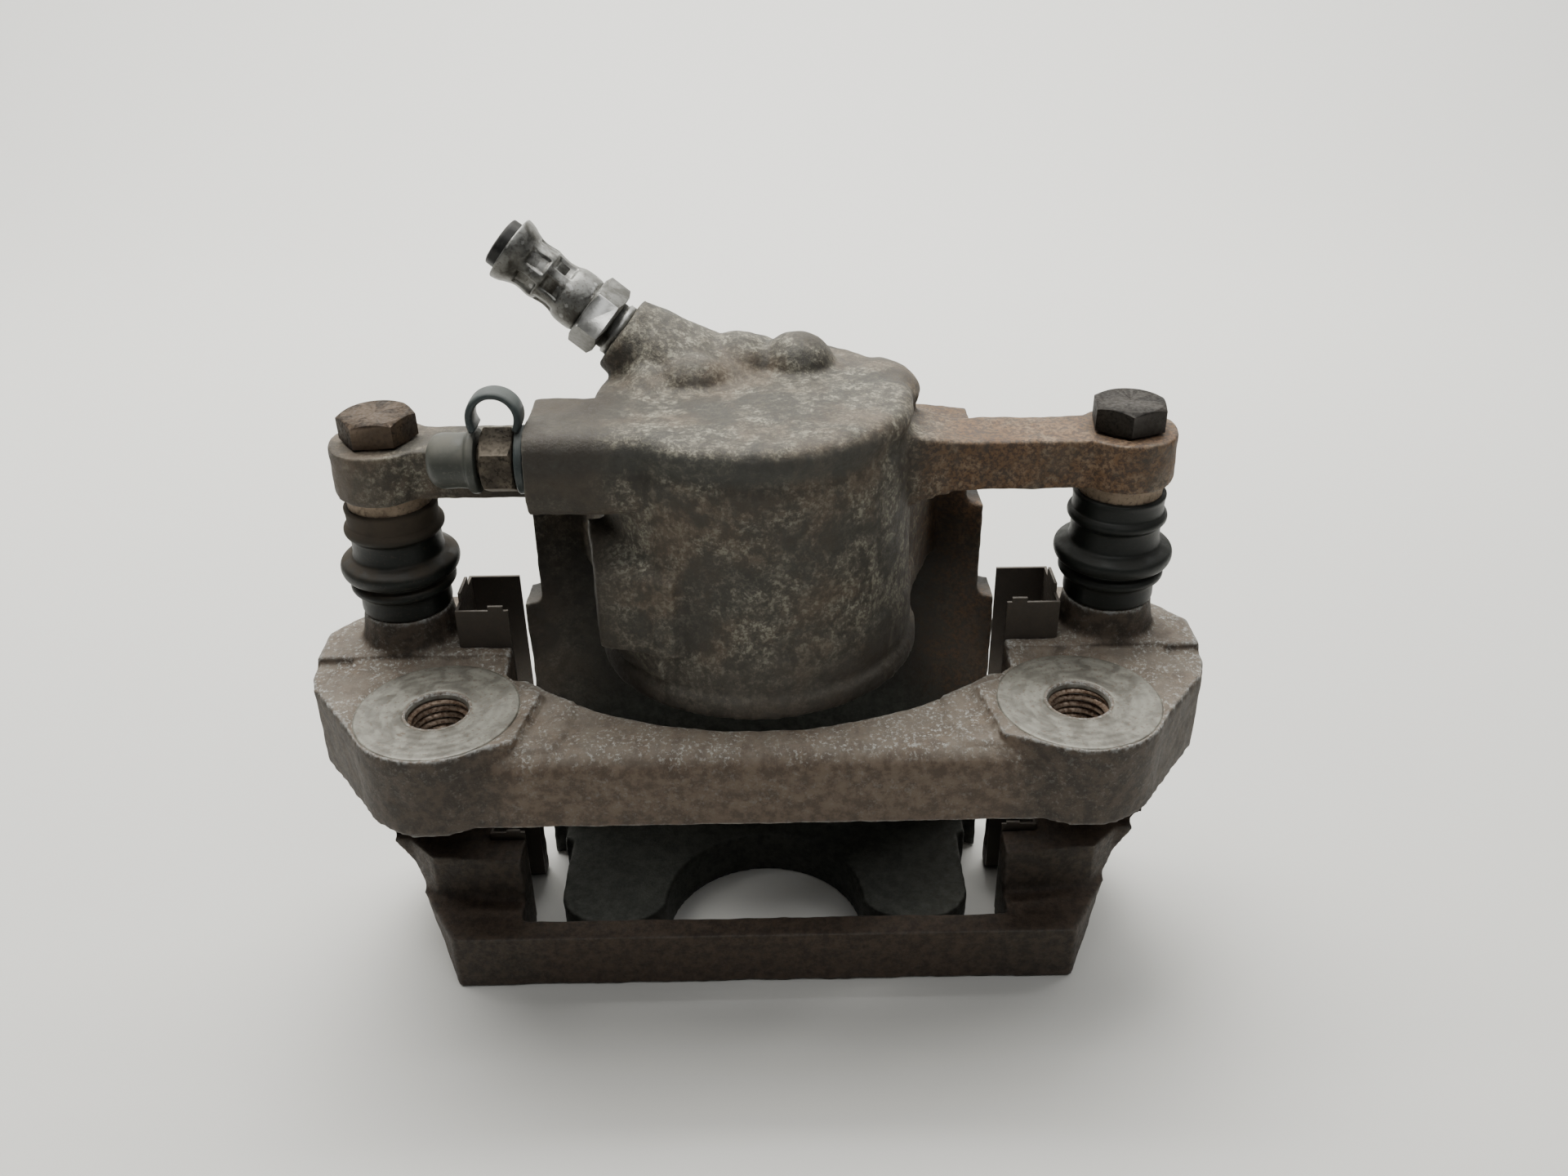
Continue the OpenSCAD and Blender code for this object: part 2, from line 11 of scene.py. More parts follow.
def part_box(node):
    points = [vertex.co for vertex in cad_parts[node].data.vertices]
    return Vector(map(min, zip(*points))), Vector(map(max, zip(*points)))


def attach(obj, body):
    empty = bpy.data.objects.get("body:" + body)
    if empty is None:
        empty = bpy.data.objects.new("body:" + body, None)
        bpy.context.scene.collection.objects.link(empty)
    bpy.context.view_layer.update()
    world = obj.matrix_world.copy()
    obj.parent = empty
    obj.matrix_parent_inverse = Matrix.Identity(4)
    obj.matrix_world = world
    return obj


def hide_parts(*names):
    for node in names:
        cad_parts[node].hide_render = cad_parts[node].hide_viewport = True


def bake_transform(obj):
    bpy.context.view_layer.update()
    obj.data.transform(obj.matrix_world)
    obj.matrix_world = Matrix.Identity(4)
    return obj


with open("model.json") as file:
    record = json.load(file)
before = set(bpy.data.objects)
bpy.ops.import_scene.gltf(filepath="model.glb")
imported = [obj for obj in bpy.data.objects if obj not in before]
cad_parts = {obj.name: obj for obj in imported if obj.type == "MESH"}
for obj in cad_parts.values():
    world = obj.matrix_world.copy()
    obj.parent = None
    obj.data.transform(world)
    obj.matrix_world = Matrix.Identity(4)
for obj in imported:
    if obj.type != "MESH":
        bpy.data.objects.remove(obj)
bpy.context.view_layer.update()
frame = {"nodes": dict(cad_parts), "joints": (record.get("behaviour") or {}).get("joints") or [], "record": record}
MM = 0.001

# ---------------------------------------------------------------- places, taken from the frame

RECORD = frame["record"]
MOUNTS = {m["name"]: Vector(m["pos_m"]) for m in RECORD["mounts"]}
JOINTS = {j["name"]: j for j in frame["joints"]}
HOLE_X = MOUNTS["mount_thread_right"].x
HOLE_R = 5.25 * MM
HOLE_DEPTH = -2 * MOUNTS["mount_thread_right"].z
FLOOR_Z = MOUNTS["tie_bar_foot"].z
BLEED_AT = Vector(JOINTS["bleed_screw_turn"]["pos_m"])
HOSE_END = MOUNTS["hose_end"]
HOSE_LEN = 28.7 * MM
HOSE_AF = 13 * MM
BOLT_AF = 13 * MM
BOLT_HEAD_H = 5.3 * MM
BLEED_AF = 11 * MM
SPOT_R = 15.7 * MM
PIN_WAY_R = 6.6 * MM
PIN_WAY_ROOM = 4 * MM


def middle(node):
    """Centre of a CAD node's box."""
    low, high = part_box(node)
    return (low + high) / 2


PIN_X, PIN_Y = middle("guide_pin_right").x, middle("guide_pin_right").y
BOOT_LOW, BOOT_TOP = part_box("guide_boot_right")[0].z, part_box("guide_boot_right")[1].z
EAR_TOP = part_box("guide_bolt_right")[1].z - BOLT_HEAD_H
CYL_Y = middle("piston").y
CYL_R = 30.64 * MM
CYL_TOP = 54 * MM


# ---------------------------------------------------------------- materials

class Shade:
    """A node material with short calls for the procedural textures it is built from."""

    def __init__(self, name):
        self.mat = bpy.data.materials.new(name)
        self.mat.use_nodes = True
        self.tree = self.mat.node_tree
        self.shader = self.tree.nodes["Principled BSDF"]
        coords = self.new("ShaderNodeTexCoord")
        self.place = coords.outputs["Object"]
        self.geometry = self.new("ShaderNodeNewGeometry")

    def new(self, kind):
        return self.tree.nodes.new(kind)

    def put(self, socket, value):
        """Links a socket, or sets a plain number or colour."""
        if isinstance(value, bpy.types.NodeSocket):
            self.tree.links.new(value, socket)
        else:
            socket.default_value = value

    def noise(self, size, detail=4.0, rough=0.55, squeeze=(1, 1, 1), warp=0.0):
        """Noise from 0 to 1 with lumps of about `size` metres."""
        scale = self.new("ShaderNodeMapping")
        self.put(scale.inputs["Vector"], self.place)
        scale.inputs["Scale"].default_value = squeeze
        node = self.new("ShaderNodeTexNoise")
        self.put(node.inputs["Vector"], scale.outputs[0])
        node.inputs["Scale"].default_value = 1 / size
        node.inputs["Detail"].default_value = detail
        node.inputs["Roughness"].default_value = rough
        node.inputs["Distortion"].default_value = warp
        return node.outputs["Fac"]

    def ramp(self, fac, low, high, a=0.0, b=1.0):
        """Maps low..high to a..b, clamped and smooth."""
        node = self.new("ShaderNodeMapRange")
        node.interpolation_type = "SMOOTHSTEP"
        self.put(node.inputs["Value"], fac)
        for key, value in (("From Min", low), ("From Max", high), ("To Min", a), ("To Max", b)):
            node.inputs[key].default_value = value
        return node.outputs["Result"]

    def math(self, how, a, b=0.0):
        node = self.new("ShaderNodeMath")
        node.operation = how
        node.use_clamp = how in ("MULTIPLY", "ADD", "SUBTRACT")
        self.put(node.inputs[0], a)
        self.put(node.inputs[1], b)
        return node.outputs[0]

    def times(self, a, b):
        return self.math("MULTIPLY", a, b)

    def mix(self, fac, a, b):
        node = self.new("ShaderNodeMix")
        node.data_type = "RGBA"
        self.put(node.inputs["Factor"], fac)
        self.put(node.inputs["A"], a if isinstance(a, bpy.types.NodeSocket) else (*a, 1))
        self.put(node.inputs["B"], b if isinstance(b, bpy.types.NodeSocket) else (*b, 1))
        return node.outputs["Result"]

    def axis(self, name, normal=False):
        """One coordinate of the place on the object, or of its normal."""
        node = self.new("ShaderNodeSeparateXYZ")
        self.put(node.inputs[0], self.geometry.outputs["Normal"] if normal else self.place)
        return node.outputs[name]

    def edges(self, low=0.52, high=0.6):
        """1 on worn convex edges."""
        return self.ramp(self.geometry.outputs["Pointiness"], low, high)

    def corner_shade(self, low=0.4, high=0.49):
        """1 in concave corners, where shade is painted darker."""
        return self.ramp(self.geometry.outputs["Pointiness"], low, high, 1, 0)

    def bump(self, height, depth, strength=1.0, after=None):
        node = self.new("ShaderNodeBump")
        node.inputs["Strength"].default_value = strength
        node.inputs["Distance"].default_value = depth
        self.put(node.inputs["Height"], height)
        if after is not None:
            self.put(node.inputs["Normal"], after)
        return node.outputs[0]

    def finish(self, colour, rough, normal=None, metallic=0.0, specular=0.5):
        self.put(self.shader.inputs["Base Color"], colour)
        self.put(self.shader.inputs["Roughness"], rough)
        self.put(self.shader.inputs["Metallic"], metallic)
        self.shader.inputs["Specular IOR Level"].default_value = specular
        if normal is not None:
            self.put(self.shader.inputs["Normal"], normal)
        return self.mat


def housing_iron():
    """Dusty grey cast iron with fine pale flecks, dark patches, and rust along the right arm, with painted shade
    in the groove under the top edge, on the bridge's inner face, on the jaw and in concave corners, and painted
    light on upward faces along with their dust.
    """
    s = Shade("housing_iron")
    fine = s.noise(0.85 * MM, 6, 0.72)
    grit = s.noise(2.6 * MM, 7, 0.7)
    blotch = s.noise(8 * MM, 6, 0.62, warp=0.3)
    up = s.ramp(s.axis("Z", True), 0.25, 0.85)
    dark = s.mix(s.ramp(grit, 0.38, 0.62), (0.036, 0.031, 0.024), (0.088, 0.078, 0.060))
    pale = s.mix(s.ramp(blotch, 0.36, 0.62), (0.190, 0.172, 0.130), (0.285, 0.272, 0.214))
    # Upward faces get more pale flecks and a paler tone: dust settled on top, and painted light on top faces
    # against shaded sides.
    share = s.math("ADD", s.ramp(grit, 0.42, 0.58, 0.08, 0.85), s.times(up, 0.18))
    flecks = s.times(s.ramp(fine, 0.47, 0.56), share)
    colour = s.mix(s.math("ADD", flecks, s.times(up, 0.05)), dark, pale)
    earthy = s.times(s.ramp(s.noise(19 * MM, 5, 0.62), 0.44, 0.60), s.ramp(grit, 0.35, 0.6, 0.5, 1.0))
    colour = s.mix(s.times(earthy, 0.55), colour, (0.104, 0.070, 0.044))
    patch = s.times(s.ramp(s.noise(13 * MM, 6, 0.66, warp=0.5), 0.46, 0.60),
                    s.ramp(grit, 0.34, 0.56, 0.35, 1.0))
    colour = s.mix(s.times(patch, 0.75), colour, (0.028, 0.026, 0.022))
    # Painted shade: a dark band is painted in the groove under the cylinder's top edge on the front.
    lip = s.times(s.ramp(s.axis("Z"), CYL_TOP - 8 * MM, CYL_TOP - 5 * MM),
                  s.ramp(s.axis("Y"), CYL_Y - 16 * MM, CYL_Y - 23 * MM))
    lip = s.times(lip, s.math("SUBTRACT", 1.0, up))
    colour = s.mix(s.times(lip, 0.7), colour, (0.042, 0.043, 0.038))
    rust = s.times(s.ramp(s.axis("X"), 25 * MM, 42 * MM), s.ramp(blotch, 0.32, 0.56, 0.30, 1.0))
    orange = s.mix(s.ramp(fine, 0.4, 0.6), (0.060, 0.030, 0.016), (0.230, 0.122, 0.056))
    colour = s.mix(s.times(rust, 0.66), colour, orange)
    boss = s.times(s.ramp(s.axis("X"), -20 * MM, -30 * MM), s.ramp(s.axis("X"), -62 * MM, -52 * MM))
    boss = s.times(boss, s.times(s.ramp(s.axis("Y"), CYL_Y + 10 * MM, CYL_Y - 4 * MM),
                                 s.ramp(grit, 0.34, 0.56, 0.45, 1.0)))
    colour = s.mix(s.times(boss, 0.78), colour, (0.034, 0.027, 0.020))
    tan = s.times(s.ramp(s.axis("X"), -66 * MM, -78 * MM), s.ramp(blotch, 0.32, 0.60))
    colour = s.mix(s.times(tan, 0.5), colour, (0.120, 0.088, 0.062))
    low = s.times(s.ramp(s.axis("Z"), 18 * MM, 4 * MM), s.ramp(grit, 0.36, 0.60, 0.4, 1.0))
    colour = s.mix(s.times(low, 0.72), colour, (0.058, 0.050, 0.041))
    scuff = s.times(s.edges(0.52, 0.58), s.ramp(grit, 0.35, 0.6, 0.2, 1.0))
    colour = s.mix(s.times(scuff, 0.35), colour, (0.34, 0.33, 0.28))
    # Painted shade: concave corners are painted darker.
    colour = s.mix(s.times(s.corner_shade(), 0.6), colour, (0.045, 0.036, 0.028))
    # Painted shade: the bridge's inner face behind the cylinder is painted near black.
    inner = s.times(s.ramp(s.axis("Y"), CYL_Y + 17 * MM, CYL_Y + 24 * MM),
                    s.ramp(s.axis("Z"), 42 * MM, 30 * MM))
    colour = s.mix(s.times(inner, 0.97), colour, (0.008, 0.007, 0.005))
    # Painted shade: the outboard jaw, low on the housing, is painted dark grey-green.
    jaw_shade = s.ramp(s.axis("Z"), -24 * MM, -40 * MM)
    jaw_shade_colour = s.mix(s.ramp(grit, 0.38, 0.62), (0.022, 0.025, 0.020), (0.046, 0.049, 0.041))
    colour = s.mix(s.times(jaw_shade, 0.92), colour, jaw_shade_colour)
    normal = s.bump(grit, 0.30 * MM, 0.8)
    normal = s.bump(fine, 0.18 * MM, 0.9, normal)
    return s.finish(colour, s.ramp(fine, 0.3, 0.7, 0.55, 0.8), normal, 0.1)


def carrier_iron():
    """Brown rusted casting whose top faces are worn to fine pale speckle."""
    s = Shade("carrier_iron")
    fine = s.noise(0.8 * MM, 6, 0.72)
    grit = s.noise(2.4 * MM, 7, 0.7)
    blotch = s.noise(9 * MM, 6, 0.62, warp=0.4)
    up = s.ramp(s.axis("Z", True), 0.3, 0.9)
    shallow = s.ramp(s.axis("Z"), -24 * MM, -12 * MM)
    brown = s.mix(s.ramp(grit, 0.38, 0.62), (0.066, 0.044, 0.029), (0.132, 0.096, 0.066))
    earth = s.mix(s.ramp(grit, 0.36, 0.62), (0.032, 0.021, 0.014), (0.066, 0.045, 0.030))
    colour = s.mix(shallow, earth, brown)
    grey = s.times(s.times(up, shallow), s.ramp(blotch, 0.30, 0.60, 0.25, 1.0))
    colour = s.mix(s.times(grey, 0.55), colour, (0.170, 0.150, 0.122))
    ends = s.times(s.ramp(s.math("ABSOLUTE", s.axis("X")), HOLE_X - 18 * MM, HOLE_X - 8 * MM),
                   s.math("SUBTRACT", 1.0, up))
    soot = s.mix(s.ramp(grit, 0.4, 0.6), (0.026, 0.019, 0.013), (0.055, 0.040, 0.028))
    colour = s.mix(s.times(ends, 0.88), colour, soot)
    share = s.times(s.ramp(s.noise(6 * MM, 5, 0.65), 0.36, 0.60, 0.10, 1.0),
                    s.math("ADD", s.times(up, 0.75), 0.20))
    worn = s.times(s.ramp(fine, 0.50, 0.64), s.times(share, shallow))
    colour = s.mix(worn, colour, (0.37, 0.37, 0.34))
    edge = s.times(s.edges(0.515, 0.56), s.ramp(fine, 0.38, 0.56))
    edge = s.times(edge, s.math("ADD", s.times(shallow, 0.45), 0.1))
    colour = s.mix(edge, colour, (0.34, 0.35, 0.34))
    # Painted shade: concave corners are painted darker.
    colour = s.mix(s.times(s.corner_shade(), 0.65), colour, (0.026, 0.018, 0.013))
    normal = s.bump(grit, 0.28 * MM, 0.8)
    normal = s.bump(fine, 0.16 * MM, 0.8, normal)
    return s.finish(colour, s.ramp(fine, 0.3, 0.7, 0.55, 0.8), normal, 0.1)


def spotface_steel():
    """Milled face with circular tool marks and grey oxide."""
    s = Shade("spotface_steel")
    rings = s.new("ShaderNodeTexWave")
    rings.wave_type = "RINGS"
    rings.rings_direction = "SPHERICAL"
    s.put(rings.inputs["Vector"], s.place)
    rings.inputs["Scale"].default_value = 1 / (5.5 * MM)
    rings.inputs["Distortion"].default_value = 0.6
    blotch = s.noise(4 * MM, 5, 0.62, warp=0.5)
    speckle = s.noise(0.8 * MM, 4, 0.6)
    colour = s.mix(s.ramp(blotch, 0.38, 0.62), (0.140, 0.134, 0.114), (0.240, 0.236, 0.202))
    colour = s.mix(s.ramp(rings.outputs["Fac"], 0.0, 1.0, 0.0, 0.22), colour, (0.13, 0.115, 0.10))
    colour = s.mix(s.times(s.ramp(speckle, 0.55, 0.66), 0.55), colour, (0.12, 0.085, 0.06))
    normal = s.bump(rings.outputs["Fac"], 0.05 * MM, 0.6)
    normal = s.bump(speckle, 0.06 * MM, 0.6, normal)
    return s.finish(colour, s.ramp(blotch, 0.3, 0.7, 0.42, 0.62), normal, 0.45)


def thread_steel():
    s = Shade("thread_steel")
    speckle = s.noise(0.7 * MM, 4, 0.6)
    colour = s.mix(s.ramp(speckle, 0.4, 0.65), (0.28, 0.21, 0.155), (0.115, 0.062, 0.034))
    colour = s.mix(s.times(s.edges(0.52, 0.62), 0.5), colour, (0.42, 0.36, 0.30))
    return s.finish(colour, s.ramp(speckle, 0.3, 0.7, 0.4, 0.7), s.bump(speckle, 0.06 * MM, 0.7), 0.6)


def rusty_steel(name, light, dark, shine=0.35):
    """Bolts and pins: oxide brown with darker pits and slightly bright corners."""
    s = Shade(name)
    blotch = s.noise(3.5 * MM, 5, 0.65, warp=0.4)
    speckle = s.noise(0.7 * MM, 4, 0.6)
    colour = s.mix(s.ramp(blotch, 0.36, 0.64), dark, light)
    colour = s.mix(s.times(s.ramp(speckle, 0.52, 0.64), 0.75), colour,
                   tuple(0.4 * c for c in dark))
    bright = tuple(min(1, 1.6 * c + 0.03) for c in light)
    colour = s.mix(s.times(s.edges(0.53, 0.64), 0.5), colour, bright)
    normal = s.bump(blotch, 0.16 * MM, 0.6)
    normal = s.bump(speckle, 0.1 * MM, 0.8, normal)
    return s.finish(colour, s.ramp(speckle, 0.3, 0.7, 0.58, 0.85), normal, shine, 0.3)


def zinc_steel():
    """Dull zinc plate with grey stains and brighter scuffed edges."""
    s = Shade("zinc_steel")
    blotch = s.noise(3.2 * MM, 5, 0.62, warp=0.5)
    fine = s.noise(0.6 * MM, 4, 0.6)
    colour = s.mix(s.ramp(blotch, 0.36, 0.62), (0.105, 0.103, 0.094), (0.235, 0.235, 0.222))
    colour = s.mix(s.times(s.ramp(fine, 0.54, 0.66), 0.6), colour, (0.085, 0.075, 0.062))
    colour = s.mix(s.times(s.edges(0.52, 0.6), 0.55), colour, (0.50, 0.50, 0.49))
    # Painted shade: concave corners are painted darker.
    colour = s.mix(s.times(s.corner_shade(0.42, 0.49), 0.6), colour, (0.06, 0.055, 0.05))
    normal = s.bump(fine, 0.06 * MM, 0.6)
    return s.finish(colour, s.ramp(blotch, 0.3, 0.7, 0.3, 0.5), normal, 0.8)


def rubber(name, clean, dusty, dust_from=None, shine=0.45):
    """Black rubber with dust on what faces up, and more of it above dust_from."""
    s = Shade(name)
    blotch = s.noise(5 * MM, 5, 0.62)
    fine = s.noise(0.6 * MM, 4, 0.6)
    up = s.ramp(s.axis("Z", True), 0.0, 0.9)
    dust = s.times(up, s.ramp(blotch, 0.35, 0.65, 0.25, 0.8))
    if dust_from is not None:
        caked = s.times(s.ramp(s.axis("Z"), dust_from - 2 * MM, dust_from + 1 * MM),
                        s.ramp(blotch, 0.3, 0.55, 0.65, 1.0))
        dust = s.math("MAXIMUM", dust, caked)
    dust = s.math("MAXIMUM", dust, s.times(s.ramp(fine, 0.56, 0.66), 0.35))
    colour = s.mix(dust, clean, dusty)
    normal = s.bump(fine, 0.05 * MM, 0.6)
    return s.finish(colour, s.ramp(dust, 0.0, 1.0, shine, 0.85), normal, 0.0, 0.3)


def clip_steel():
    s = Shade("clip_steel")
    blotch = s.noise(4 * MM, 5, 0.62)
    fine = s.noise(0.6 * MM, 4, 0.6)
    colour = s.mix(s.ramp(blotch, 0.38, 0.62), (0.014, 0.012, 0.010), (0.030, 0.023, 0.018))
    colour = s.mix(s.times(s.ramp(fine, 0.56, 0.66), 0.7), colour, (0.08, 0.055, 0.035))
    colour = s.mix(s.times(s.edges(0.52, 0.6), 0.5), colour, (0.15, 0.13, 0.11))
    return s.finish(colour, s.ramp(fine, 0.3, 0.7, 0.42, 0.65), s.bump(fine, 0.05 * MM, 0.6), 0.5)


def stage_paint():
    s = Shade("stage_paint")
    soft = s.noise(0.4, 2)
    return s.finish(s.mix(soft, (0.60, 0.595, 0.57), (0.64, 0.635, 0.61)), 0.8)


MAT = {
    "housing": housing_iron(),
    "carrier": carrier_iron(),
    "spotface": spotface_steel(),
    "thread": thread_steel(),
    "bolt_left": rusty_steel("bolt_left_steel", (0.050, 0.031, 0.016), (0.022, 0.014, 0.008), 0.0),
    "bolt_right": rusty_steel("bolt_right_steel", (0.018, 0.014, 0.010), (0.009, 0.007, 0.005), 0.0),
    "pin": rusty_steel("pin_steel", (0.250, 0.195, 0.140), (0.130, 0.095, 0.065)),
    "bleeder": rusty_steel("bleeder_steel", (0.115, 0.096, 0.072), (0.050, 0.041, 0.031), 0.4),
    "piston": rusty_steel("piston_steel", (0.520, 0.510, 0.490), (0.340, 0.330, 0.310), 0.85),
    "zinc": zinc_steel(),
    "boot_left": rubber("boot_left_rubber", (0.005, 0.007, 0.006), (0.050, 0.039, 0.028), 27 * MM),
    "boot_right": rubber("boot_right_rubber", (0.005, 0.007, 0.006), (0.022, 0.022, 0.019)),
    "seal": rubber("seal_rubber", (0.016, 0.016, 0.016), (0.060, 0.055, 0.048)),
    "cap": rubber("cap_rubber", (0.046, 0.050, 0.044), (0.130, 0.125, 0.105), None, 0.42),
    "strap": rubber("strap_rubber", (0.036, 0.046, 0.047), (0.110, 0.118, 0.112), None, 0.35),
    "hose": rubber("hose_rubber", (0.012, 0.012, 0.012), (0.050, 0.048, 0.044)),
    "clip": clip_steel(),
    "stage": stage_paint(),
}


# ---------------------------------------------------------------- mesh tools

def new_object(name, verts, faces, mat=None, smooth=True):
    mesh = bpy.data.meshes.new(name)
    mesh.from_pydata([tuple(v) for v in verts], [], faces)
    mesh.validate()
    mesh.update()
    obj = bpy.data.objects.new(name, mesh)
    bpy.context.scene.collection.objects.link(obj)
    clean(obj)
    if mat is not None:
        paint(obj, mat, smooth)
    return obj


def clean(obj):
    """Welds doubles and turns every face outwards."""
    bm = bmesh.new()
    bm.from_mesh(obj.data)
    bmesh.ops.remove_doubles(bm, verts=bm.verts, dist=1e-7)
    bmesh.ops.recalc_face_normals(bm, faces=bm.faces)
    bm.to_mesh(obj.data)
    bm.free()


def paint(obj, mat, smooth=True):
    obj.data.materials.clear()
    obj.data.materials.append(mat)
    for poly in obj.data.polygons:
        poly.use_smooth = smooth


def apply_modifiers(obj):
    bpy.context.view_layer.update()
    graph = bpy.context.evaluated_depsgraph_get()
    mesh = bpy.data.meshes.new_from_object(obj.evaluated_get(graph))
    obj.modifiers.clear()
    obj.data = mesh
    return obj


def bevel(obj, width, segments=2, angle=35):
    mod = obj.modifiers.new("bevel", "BEVEL")
    mod.width = width
    mod.segments = segments
    mod.limit_method = "ANGLE"
    mod.angle_limit = math.radians(angle)
    mod.harden_normals = False
    return obj


def boolean(obj, other, how):
    """Applies one boolean and removes the tool."""
    mod = obj.modifiers.new("cut", "BOOLEAN")
    mod.operation = how
    mod.object = other
    mod.solver = "EXACT"
    apply_modifiers(obj)
    bpy.data.objects.remove(other)
    return obj


def lathe(name, profile, mat, steps=96, radius=None, closed=True):
    """Turns an outline of (r, z) points about Z; radius(r, z, angle) may shape it."""
    verts = []
    for i in range(steps):
        a = 2 * math.pi * i / steps
        for r, z in profile:
            rr = radius(r, z, a) if radius else r
            verts.append((rr * math.cos(a), rr * math.sin(a), z))
    n = len(profile)
    spans = n if closed else n - 1
    faces = []
    for i in range(steps):
        j = (i + 1) % steps
        for k in range(spans):
            m = (k + 1) % n
            faces.append((i * n + k, j * n + k, j * n + m, i * n + m))
    return new_object(name, verts, faces, mat)


def smooth_outline(points, per_span=6):
    """Catmull-Rom curve through an outline's points, ends kept."""
    out = []
    for i in range(len(points) - 1):
        p = [Vector(points[max(0, min(len(points) - 1, i + k))]) for k in (-1, 0, 1, 2)]
        for s in range(per_span):
            t = s / per_span
            out.append(tuple(0.5 * (2 * p[1] + (p[2] - p[0]) * t
                                    + (2 * p[0] - 5 * p[1] + 4 * p[2] - p[3]) * t ** 2
                                    + (3 * p[1] - p[0] - 3 * p[2] + p[3]) * t ** 3)))
    out.append(tuple(points[-1]))
    return out


def hexagon(name, across, low, high, mat, chamfer_top=True, chamfer_low=False, bore=0.0):
    """Hexagon nut or head whose corners are turned off as on a real one."""
    corner = across / math.sqrt(3)
    verts = [(corner * math.cos(math.radians(60 * k)), corner * math.sin(math.radians(60 * k)), z)
             for z in (low, high) for k in range(6)]
    faces = [tuple(range(5, -1, -1)), tuple(range(6, 12))]
    faces += [(k, (k + 1) % 6, (k + 1) % 6 + 6, k + 6) for k in range(6)]
    body = new_object(name, verts, faces)
    rim = across / 2 * 0.97
    drop = (corner * 1.02 - rim) * 0.55
    wide = corner * 1.02
    outline = [(rim, high)] if chamfer_top else [(wide, high + 1 * MM)]
    outline += [(wide, high - drop)] if chamfer_top else []
    outline += [(wide, low + drop), (rim, low)] if chamfer_low else [(wide, low - 1 * MM)]
    full = [(max(bore, 1e-5), outline[0][1])] + outline + [(max(bore, 1e-5), outline[-1][1])]
    tool = lathe("tool", full, None, 96)
    boolean(body, tool, "INTERSECT")
    paint(body, mat, False)
    bevel(body, 0.22 * MM, 2, 25)
    apply_modifiers(body)
    for poly in body.data.polygons:
        poly.use_smooth = True
    return body


def put(obj, at, direction=(0, 0, 1), spin=0.0):
    """Moves a mesh made about +Z so that +Z points along direction, into the row frame."""
    turn = Vector((0, 0, 1)).rotation_difference(Vector(direction)).to_matrix().to_4x4()
    obj.data.transform(Matrix.Translation(at) @ turn @ Matrix.Rotation(spin, 4, "Z"))
    return obj


def join(name, parts):
    """Joins separate closed shells of one piece into one object, each with its material."""
    bm = bmesh.new()
    mats = []
    for part in parts:
        start = len(bm.faces)
        bm.from_mesh(part.data)
        bm.faces.ensure_lookup_table()
        for face in bm.faces[start:]:
            mat = part.data.materials[face.material_index]
            if mat not in mats:
                mats.append(mat)
            face.material_index = mats.index(mat)
    mesh = bpy.data.meshes.new(name)
    bm.to_mesh(mesh)
    bm.free()
    for mat in mats:
        mesh.materials.append(mat)
    for part in parts:
        bpy.data.objects.remove(part)
    obj = bpy.data.objects.new(name, mesh)
    bpy.context.scene.collection.objects.link(obj)
    return obj


def stand_for(obj, body, slot, *nodes):
    """A finished piece: rides on its body and stands for its CAD nodes."""
    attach(obj, body)
    if nodes:
        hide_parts(*nodes)
    return obj


# ---------------------------------------------------------------- castings

def ball(at, size):
    """A closed ellipsoid that a casting swallows before it is remeshed."""
    bm = bmesh.new()
    bmesh.ops.create_icosphere(bm, subdivisions=4, radius=1.0)
    bm.transform(Matrix.Translation(at) @ Matrix.Diagonal((*size, 1)))
    mesh = bpy.data.meshes.new("ball")
    bm.to_mesh(mesh)
    bm.free()
    obj = bpy.data.objects.new("ball", mesh)
    bpy.context.scene.collection.objects.link(obj)
    return obj


def cast_mesh(node, voxel, passes, crisp, push=None, rough=0.16 * MM, lumps=()):
    """A casting: the CAD node and its lumps remeshed fine, edges rounded and skin made uneven.
    crisp(points) is 0 where a machined face keeps its shape and 1 on raw casting."""
    obj = bpy.data.objects.new(node + "_cast", frame["nodes"][node].data.copy())
    bpy.context.scene.collection.objects.link(obj)
    clean(obj)
    paint(obj, MAT["stage"])
    for lump in lumps:
        paint(lump, MAT["stage"])
    obj = join(node + "_cast", [obj, *lumps])
    mod = obj.modifiers.new("voxels", "REMESH")
    mod.mode = "VOXEL"
    mod.voxel_size = voxel
    mod.adaptivity = 0
    apply_modifiers(obj)
    count = len(obj.data.vertices)
    co = np.zeros(count * 3)
    obj.data.vertices.foreach_get("co", co)
    co = co.reshape(-1, 3)
    edge = np.zeros(len(obj.data.edges) * 2, np.int64)
    obj.data.edges.foreach_get("vertices", edge)
    a, b = edge.reshape(-1, 2).T
    links = np.bincount(a, minlength=count) + np.bincount(b, minlength=count)
    raw = crisp(co)[:, None]
    for step in range(2 * passes):
        total = np.stack([np.bincount(a, co[b, k], count) + np.bincount(b, co[a, k], count)
                          for k in range(3)], 1)
        pull = 0.55 if step % 2 == 0 else -0.42
        co = co + pull * raw * (total / links[:, None] - co)
    obj.data.vertices.foreach_set("co", co.ravel())
    obj.data.update()
    normal = np.zeros(count * 3)
    obj.data.vertices.foreach_get("normal", normal)
    normal = normal.reshape(-1, 3)
    if push is not None:
        co = co + push(co, normal)
    skin = np.array([noise.noise(Vector(p) / (7 * MM)) + 0.55 * noise.noise(Vector(p) / (2.2 * MM))
                     for p in co])
    co = co + normal * (raw[:, 0] * rough * (skin - 0.5))[:, None]
    obj.data.vertices.foreach_set("co", co.ravel())
    obj.data.update()
    return obj


def ramp01(value, low, high):
    t = np.clip((value - low) / (high - low), 0, 1)
    return t * t * (3 - 2 * t)


